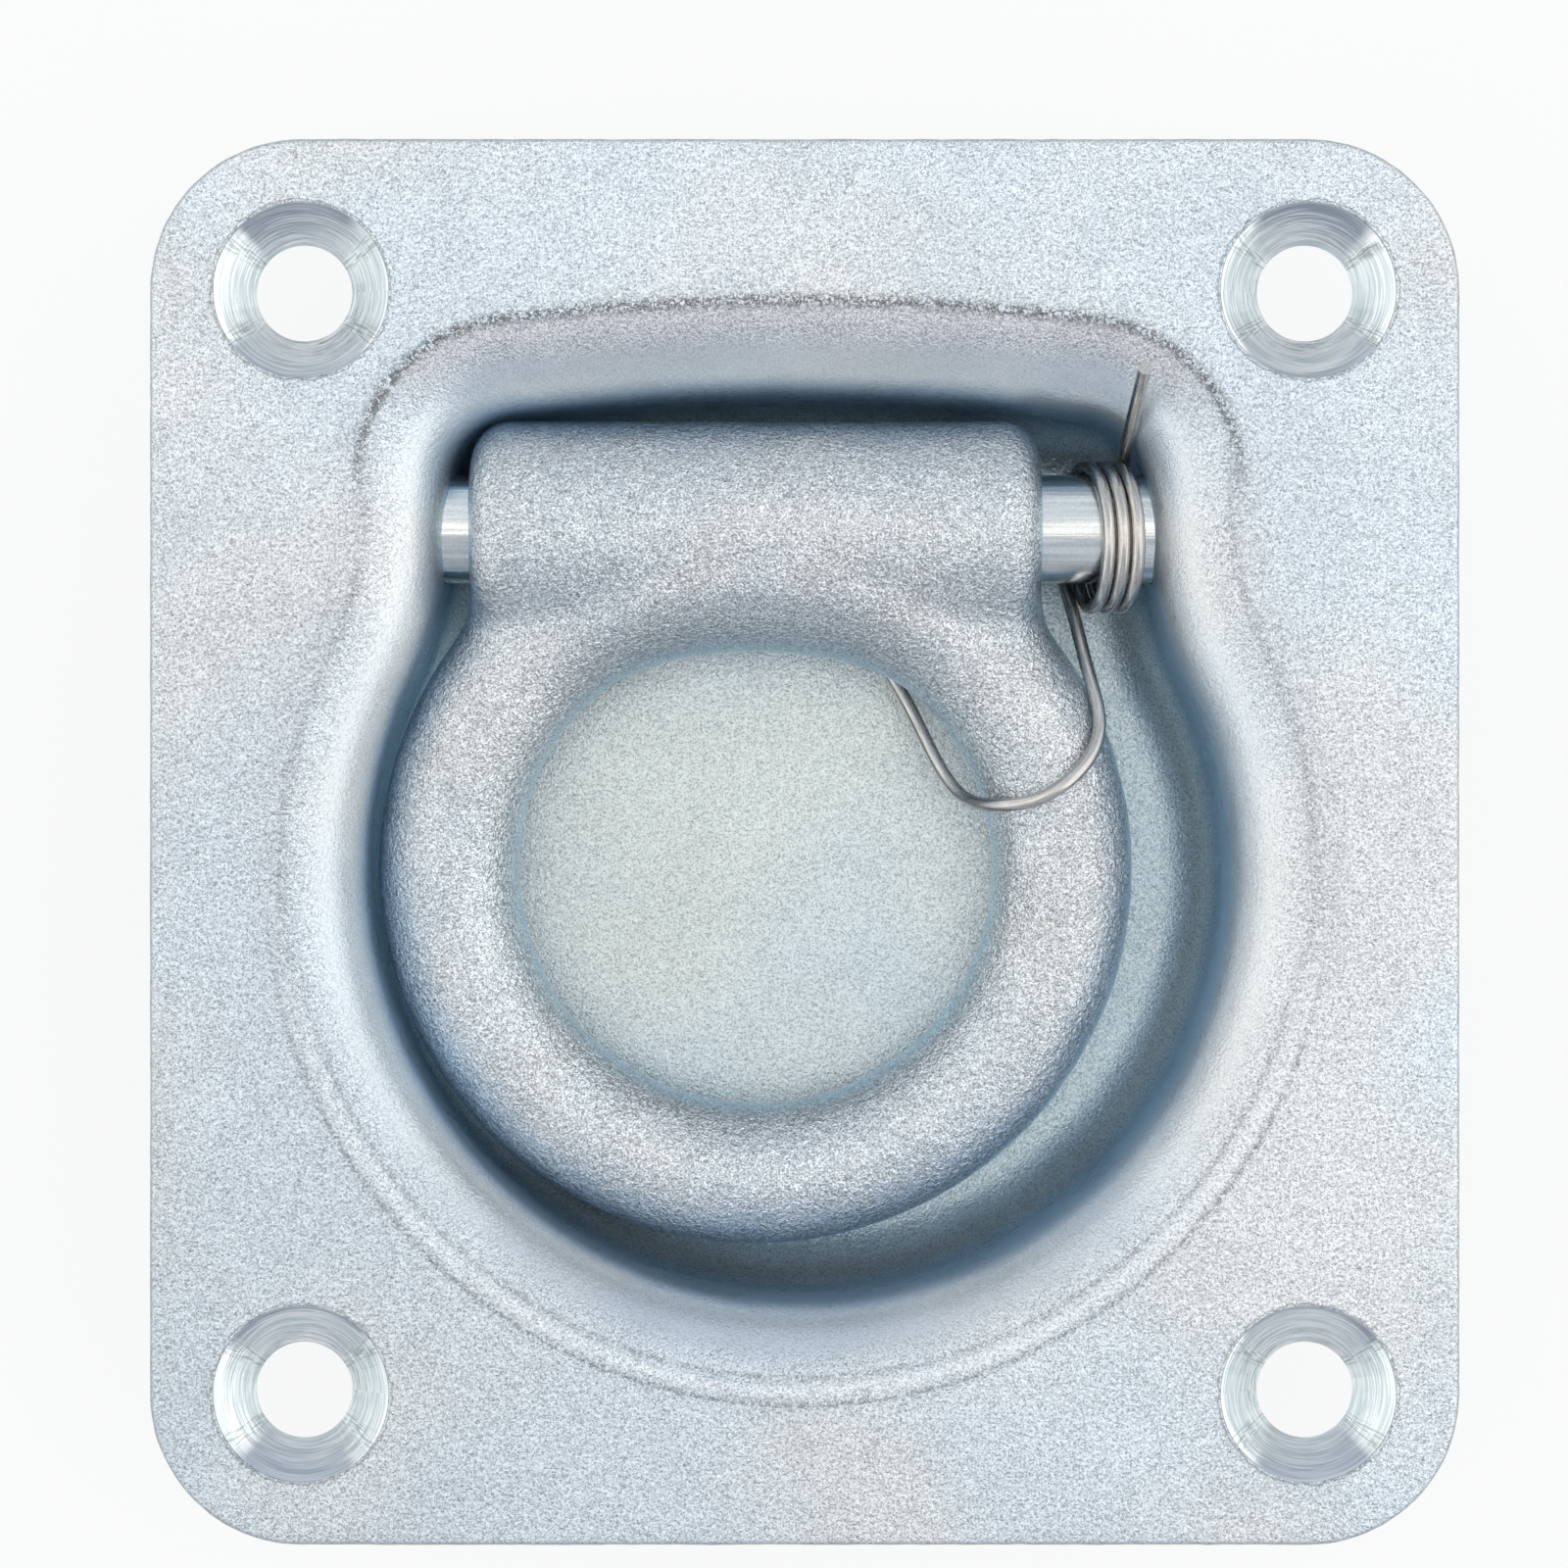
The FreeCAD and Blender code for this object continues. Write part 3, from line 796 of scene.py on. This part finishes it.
def forgedDistance(points, shape):
    # distance to the bar and to the barrel, merged with a soft fillet between them
    off = points - ringCentre(shape)
    hoop = np.hypot(np.hypot(off[:, 0], off[:, 1]) - shape["ringRadius"], off[:, 2]) - shape["barRadius"]
    across = np.hypot(points[:, 1] - shape["hinge"][0], points[:, 2] - shape["hinge"][1])
    edge = shape["barrelEdge"]
    a = across - (shape["barrelRadius"] - edge)
    b = np.abs(points[:, 0] - shape["centreX"]) - (shape["barrelHalf"] - edge)
    barrel = np.hypot(np.maximum(a, 0), np.maximum(b, 0)) + np.minimum(np.maximum(a, b), 0) - edge
    # the fillet is fuller on the side of the ring's hole
    inside = rounded(*shape["webSpan"], np.hypot(off[:, 0], off[:, 1]) - shape["ringRadius"])
    web = shape["web"] + (shape["webInside"] - shape["web"]) * inside
    blend = np.maximum(web - np.abs(hoop - barrel), 0) / web
    return np.minimum(hoop, barrel) - blend ** 3 * web / 6


def towardSurface(points, shape, rounds):
    step = 0.01
    for _ in range(rounds):
        here = forgedDistance(points, shape)
        slope = np.stack([(forgedDistance(points + np.eye(3)[i] * step, shape) -
                           forgedDistance(points - np.eye(3)[i] * step, shape)) / (2 * step) for i in range(3)], 1)
        slope /= np.maximum((slope ** 2).sum(1, keepdims=True), 0.2)
        points = points - slope * here[:, None]
    return points


def ringFinish():
    look = {
        "cool": (0.755, 0.795, 0.825, 1), "warm": (0.795, 0.795, 0.795, 1), "cloud": 15.0, "cloudSpan": (0.35, 0.65),
        "steep": (0.64, 0.78, 0.90, 1), "edgeTint": (0.80, 0.95, 1.0, 1), "metallic": 0.82,
        "patch": 4.0, "roughSpan": (0.3, 0.7, 0.17, 0.24), "reliefSpan": (0.35, 0.65, 0.7, 1.15),
        "peel": 0.38, "peelSpan": (0.34, 0.60, 0.84, 1.02), "peelDeep": 0.16,
        "fine": 0.15, "fineSpan": (0.34, 0.60, 0.50, 1.16), "fineDeep": 0.03,
        "worm": 0.494, "wormSpan": (0.0, 0.08, 1.0, 0.0), "wormLight": (0.0, 1.0, 0.92, 1.12), "wormDeep": 0.032,
    }
    finish, tree, place, ramp = newFinish("zincRing", look)
    cloud = speckle(tree, place, look["cloud"])
    patch = speckle(tree, place, look["patch"], 3.0, 0.6)
    peel = speckle(tree, place, look["peel"], 2.5, 0.6, 0.4)
    fine = speckle(tree, place, look["fine"], 2.0, 0.6)
    # worm-like ridges, as blasting leaves them on a forging
    worm = ramp(gapTo(tree, speckle(tree, place, look["worm"], 1.0, 0.5, 0.6), 0.5), "wormSpan")
    tint = mixColors(tree, ramp(cloud, "cloudSpan"), look["cool"], look["warm"])
    # painted blue shade on the steep flanks of the bar and barrel
    tint = mixColors(tree, attribute(tree, "steep"), tint, look["steep"])
    # painted highlight: the worm ridges are made brighter
    light = times(tree, ramp(peel, "peelSpan"), ramp(fine, "fineSpan"), ramp(worm, "wormLight"))
    tint = mixColors(tree, 1.0, tint, light, "MULTIPLY")
    raised = plus(tree, times(tree, peel, look["peelDeep"]), times(tree, worm, look["wormDeep"]))
    height = times(tree, raised, ramp(patch, "reliefSpan"))
    height = plus(tree, height, times(tree, fine, look["fineDeep"]))
    setSurface(tree, look, tint, ramp(patch, "roughSpan"), height)
    return finish


def roughRing(shape):
    # a plain hoop and a plain barrel through each other, to be skinned as one
    centre = ringCentre(shape)
    many, few = shape["hoopSteps"], shape["barSteps"]
    bm = bmesh.new()
    rows = []
    for i in range(many):
        turn = 2 * pi * i / many
        row = []
        for j in range(few):
            roll = 2 * pi * j / few
            far = shape["ringRadius"] + shape["barRadius"] * cos(roll)
            row.append(bm.verts.new((centre[0] + far * cos(turn), centre[1] + far * sin(turn),
                                     centre[2] + shape["barRadius"] * sin(roll))))
        rows.append(row)
    for i in range(many):
        for j in range(few):
            bm.faces.new((rows[i][j], rows[i - 1][j], rows[i - 1][j - 1], rows[i][j - 1]))
    left, right = centre[0] - shape["barrelHalf"], centre[0] + shape["barrelHalf"]
    wide, edge = shape["barrelRadius"], shape["barrelEdge"]
    profile = [(left, wide - edge), (left + edge, wide), (right - edge, wide), (right, wide - edge)]
    bm.from_mesh(turnedMesh("barrel", profile, shape["hinge"], shape["barrelSides"]))
    bmesh.ops.recalc_face_normals(bm, faces=bm.faces)
    return meshFrom(bm, "forgedRing")


def makeRing(shape):
    finish = ringFinish()
    thing = newObject("forgedRing", roughRing(shape))
    skin = thing.modifiers.new("skin", "REMESH")
    skin.mode = "VOXEL"
    skin.voxel_size = shape["voxel"]
    settleMesh(thing)
    thing.data.materials.clear()
    thing.data.materials.append(finish)
    placePoints(thing.data, towardSurface(pointsOf(thing.data), shape, shape["firstPulls"]))
    even = thing.modifiers.new("even", "SMOOTH")
    even.factor, even.iterations = shape["evenShare"], shape["evenRounds"]
    settleMesh(thing)
    points = towardSurface(pointsOf(thing.data), shape, shape["lastPulls"])
    placePoints(thing.data, points)
    # forgings are a little uneven, always inward so that nothing touches
    out = np.array([vertex.normal[:] for vertex in thing.data.vertices])
    slow, quick = shape["swaySizes"]
    sway = np.array([noise.noise(Vector(p) / slow) + shape["swayShare"] * noise.noise(Vector(p) / quick)
                     for p in points])
    placePoints(thing.data, points - out * (shape["unevenness"] * (1 + sway))[:, None])
    bore, flare = shape["bore"], shape["flare"]
    left, right = shape["centreX"] - shape["barrelHalf"], shape["centreX"] + shape["barrelHalf"]
    wide = bore + flare + 1
    profile = [(left - 1, wide), (left + flare, bore), (right - flare, bore), (right + 1, wide)]
    cutAway(thing, newObject("bore", turnedMesh("bore", profile, shape["hinge"], shape["boreSides"]), finish))
    hinge = Matrix.Translation((0, *shape["hinge"]))
    thing.data.transform(hinge @ Matrix.Rotation(radians(shape["tilt"]), 4, "X") @ hinge.inverted())
    noteSteep(thing.data)
    finishPiece(thing, shape["sharpAngle"])
    print("ring made,", len(thing.data.polygons), "faces")
    return thing


forgedRing = makeRing(ring)
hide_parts("forged_ring")
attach(forgedRing, "ring_body")


# ---- torsion spring: one wire from the tip above the lip, round the pin and over the ring

spring = {
    "wire": 1.0, "coilX": 24.01, "coilRadius": 5.2, "pitch": 1.08, "lean": 0.230868, "middle": (22.45, -5.1),
    "firstTurn": -0.0615397, "lastTurn": -3.3356203, "coilSteps": 60,
    "restSlope": 67.84572, "restLean": 2.5, "restLength": 17.5,
    "hook": ((21.239, 11.547, -4.292), (21.710, 8.681, -2.708), (21.162, 6.610, -1.495), (19.090, 4.251, -0.470),
             (16.817, 3.012, -0.701), (14.699, 2.687, -1.865), (11.621, 3.370, -5.375), (9.285, 7.018, -7.964),
             (7.263, 11.057, -9.708), (5.103, 14.544, -10.665)),
    "sides": 24, "stepLength": 0.22, "pathStep": 0.12, "sharpAngle": 50,
}


def coilPoint(shape, turn):
    angle = turn * 2 * pi
    rise = shape["coilRadius"] * sin(angle)
    x = shape["coilX"] + shape["pitch"] * turn + shape["lean"] * rise
    return np.array([x, shape["middle"][0] + shape["coilRadius"] * cos(angle), shape["middle"][1] + rise])


def smoothThrough(points, fine):
    # a natural cubic through the points, by distance along them
    points = np.array(points)
    gaps = np.linalg.norm(np.diff(points, axis=0), axis=1)
    count = len(points)
    system, wanted = np.eye(count), np.zeros((count, 3))
    for i in range(1, count - 1):
        system[i, i - 1:i + 2] = gaps[i - 1], 2 * (gaps[i - 1] + gaps[i]), gaps[i]
        wanted[i] = 6 * ((points[i + 1] - points[i]) / gaps[i] - (points[i] - points[i - 1]) / gaps[i - 1])
    bend = np.linalg.solve(system, wanted)
    found = []
    for i in range(count - 1):
        gap = gaps[i]
        for s in np.arange(0, 1, 1 / max(2, round(gap / fine))):
            t = s * gap
            slope = (points[i + 1] - points[i]) / gap - gap * (2 * bend[i] + bend[i + 1]) / 6
            found.append(points[i] + slope * t + bend[i] * t * t / 2 + (bend[i + 1] - bend[i]) * t ** 3 / (6 * gap))
    return found + [points[-1]]


def wireTree():
    tree, given = newPattern("drawnWire", "Path", {
        "Wire Radius": "Float", "Step": "Float", "Sides": "Int", "Finish": "Material",
    }, "Wire")
    path = made(tree, "GeometryNodeMeshToCurve", {"Mesh": given["Path"]})
    path = made(tree, "GeometryNodeResampleCurve", {"Curve": path, "Length": given["Step"]}, mode="LENGTH")
    circle = made(tree, "GeometryNodeCurvePrimitiveCircle", {
        "Resolution": given["Sides"], "Radius": given["Wire Radius"],
    })
    # how far along and how far round, for the drawing lines of the finish
    where = addNode(tree, "GeometryNodeSplineParameter").outputs
    note = lambda curve, name, value: made(tree, "GeometryNodeStoreNamedAttribute", {
        "Geometry": curve, "Name": name, "Value": value,
    }, data_type="FLOAT", domain="POINT")
    path, circle = note(path, "alongWire", where["Length"]), note(circle, "roundWire", where["Factor"])
    tube = made(tree, "GeometryNodeCurveToMesh", {"Curve": path, "Profile Curve": circle, "Fill Caps": True})
    return endPattern(tree, tube, given["Finish"])


def wireFinish():
    look = {
        "round": 2.6, "along": 0.35, "streak": 1.6, "streakSpan": (0.32, 0.68), "streakDeep": 0.012,
        "dark": (0.50, 0.47, 0.44, 1), "light": (0.74, 0.70, 0.66, 1), "metallic": 1.0,
        "fine": 0.16, "fineSpan": (0.3, 0.7, 0.93, 1.05), "roughSpan": (0.3, 0.7, 0.30, 0.20),
    }
    finish, tree, place, ramp = newFinish("springWire", look)
    # drawing lines run along the wire and close up round it
    turn = times(tree, attribute(tree, "roundWire"), 2 * pi)
    lay = vector(tree, times(tree, reckon(tree, "SINE", turn), look["round"]),
                 times(tree, reckon(tree, "COSINE", turn), look["round"]),
                 times(tree, attribute(tree, "alongWire"), look["along"]))
    streak = noiseAt(tree, lay, look["streak"], 3.0, 0.6)
    tint = drawnTint(tree, place, streak, look, ramp)
    setSurface(tree, look, tint, ramp(streak, "roughSpan"), times(tree, streak, look["streakDeep"]))
    return finish


def makeSpring(shape):
    start = coilPoint(shape, shape["firstTurn"])
    slope = radians(shape["restSlope"])
    rest = np.array([tan(radians(shape["restLean"])), cos(slope), sin(slope)])
    route = [start + rest * shape["restLength"] * share for share in (1, 0.8, 0.6, 0.4, 0.2)]
    span = shape["lastTurn"] - shape["firstTurn"]
    count = shape["coilSteps"]
    route += [coilPoint(shape, shape["firstTurn"] + span * i / count) for i in range(count + 1)]
    hook = [np.array(point) for point in shape["hook"]]
    end = route[-1]
    route += [end + (hook[0] - end) * share for share in (0.3, 0.6)] + hook
    path = smoothThrough(route, shape["pathStep"])
    thing = newObject("torsionSpring", lineMesh("torsionSpring", [path], False))
    runPattern(thing, wireTree(), {
        "Wire Radius": shape["wire"] / 2, "Step": shape["stepLength"], "Sides": shape["sides"],
        "Finish": wireFinish(),
    })
    finishPiece(thing, shape["sharpAngle"])
    print("spring made,", len(thing.data.polygons), "faces")
    return thing


torsionSpring = makeSpring(spring)
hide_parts("torsion_spring")
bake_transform(torsionSpring)


# ---- hinge pin: the frame's own solid with a drawn bright finish

def pinFinish():
    look = {
        "streak": (60.0, 1900.0, 1900.0), "streakSpan": (0.3, 0.7), "streakDeep": 0.03,
        "dark": (0.66, 0.68, 0.67, 1), "light": (0.95, 0.95, 0.93, 1), "metallic": 1.0,
        "fine": 0.2, "fineSpan": (0.3, 0.7, 0.92, 1.04), "roughSpan": (0.3, 0.7, 0.26, 0.14),
    }
    finish, tree, place, ramp = newFinish("drawnPin", look)
    laid = made(tree, "ShaderNodeMapping", {"Vector": place, "Scale": look["streak"]})
    streak = noiseAt(tree, laid, 1.0, 3.0, 0.6)
    tint = drawnTint(tree, place, streak, look, ramp)
    setSurface(tree, look, tint, ramp(streak, "roughSpan"), times(tree, streak, look["streakDeep"]))
    return finish


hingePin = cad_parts["hinge_pin"]
for slot in hingePin.material_slots:
    slot.material = pinFinish()
print("pin finished")


# ---- floor and light: a pale floor under a soft box overhead and one at each side

studio = {
    "overhead": (1.24, 1.24, 1.22, 1), "overheadSpan": (0.93, 0.985), "sides": (1.19, 1.21, 1.21, 1),
    "sidesSpan": (0.66, 0.76), "rightMore": 1.17, "near": (0.52, 0.57, 0.64, 1), "far": (0.74, 0.81, 0.89, 1),
    "crossSpan": (-0.1, 0.1), "dusk": (0.80, 0.80, 0.82, 1), "duskSpan": (0.2, 0.5),
    "low": (0.28, 0.40, 0.53, 1), "lowSpan": (-0.15, 0.05), "below": (0.46, 0.51, 0.56, 1),
    "belowSpan": (-0.02, -0.3), "strength": 1.0,
    "floorRadius": 4.0, "floorColour": (0.80, 0.80, 0.80, 1), "mottle": 60.0,
    "mottleSpan": (0.3, 0.7, 0.99, 1.01), "floorRough": 0.9, "paleness": 0.85,
}


def layFloor(shape):
    bm = bmesh.new()
    bmesh.ops.create_circle(bm, cap_ends=True, segments=64, radius=shape["floorRadius"])
    finish, tree, place, ramp = newFinish("paleFloor", shape)
    mottle = ramp(speckle(tree, place, shape["mottle"], 3.0), "mottleSpan")
    tint = mixColors(tree, 1.0, shape["floorColour"], mottle, "MULTIPLY")
    surface = setSurface(tree, shape, tint, shape["floorRough"])
    # what the camera, gloss and glass see is nearly white, with the shadow left in
    ray = addNode(tree, "ShaderNodeLightPath").outputs
    seen = reckon(tree, "MAXIMUM", ray["Is Glossy Ray"], ray["Is Transmission Ray"])
    seen = reckon(tree, "MAXIMUM", ray["Is Camera Ray"], seen)
    white = made(tree, "ShaderNodeEmission", {"Color": (1, 1, 1, 1), "Strength": 1.0})
    mixed = made(tree, "ShaderNodeMixShader", {
        0: times(tree, seen, shape["paleness"]), 1: surface.outputs[0], 2: white,
    })
    feed(tree, tree.nodes["Material Output"].inputs["Surface"], mixed)
    floor = newObject("paleFloor", meshFrom(bm, "paleFloor"), finish)
    floor.location.z = cadBox[0][2]


def lightStudio(shape):
    world = bpy.data.worlds.new("softStudio")
    bpy.context.scene.world = world
    world.use_nodes = True
    tree = world.node_tree
    back = tree.nodes["Background"]
    ramp = rampsOf(tree, shape)
    sky = addNode(tree, "ShaderNodeTexCoord").outputs["Generated"]
    way = addNode(tree, "ShaderNodeSeparateXYZ", {0: sky}).outputs
    low = ramp(way["Z"], "lowSpan")
    # the near and far ends, darker towards the horizon
    ends = mixColors(tree, ramp(way["Y"], "crossSpan"), shape["near"], shape["far"])
    dusk = mixColors(tree, 1.0, ends, shape["dusk"], "MULTIPLY")
    ends = mixColors(tree, ramp(way["Z"], "duskSpan"), dusk, ends)
    ends = mixColors(tree, low, shape["low"], ends)
    # the two sides, of which the right one is brighter
    toRight = grade(tree, way["X"], *shape["crossSpan"], 1.0, shape["rightMore"])
    sides = mixColors(tree, 1.0, shape["sides"], toRight, "MULTIPLY")
    sides = mixColors(tree, low, shape["low"], sides)
    # how much a direction points sideways; the tiny number keeps the one straight up defined
    level = plus(tree, times(tree, way["X"], way["X"]), plus(tree, times(tree, way["Y"], way["Y"]), 1e-6))
    sideways = reckon(tree, "DIVIDE", reckon(tree, "ABSOLUTE", way["X"]), reckon(tree, "SQRT", level))
    tone = mixColors(tree, ramp(sideways, "sidesSpan"), ends, sides)
    tone = mixColors(tree, ramp(way["Z"], "overheadSpan"), tone, shape["overhead"])
    tone = mixColors(tree, ramp(way["Z"], "belowSpan"), tone, shape["below"])
    feed(tree, back.inputs["Color"], tone)
    feed(tree, back.inputs["Strength"], shape["strength"])


layFloor(studio)
lightStudio(studio)
bpy.context.scene.view_settings.view_transform = "Standard"
print("floor and light set")
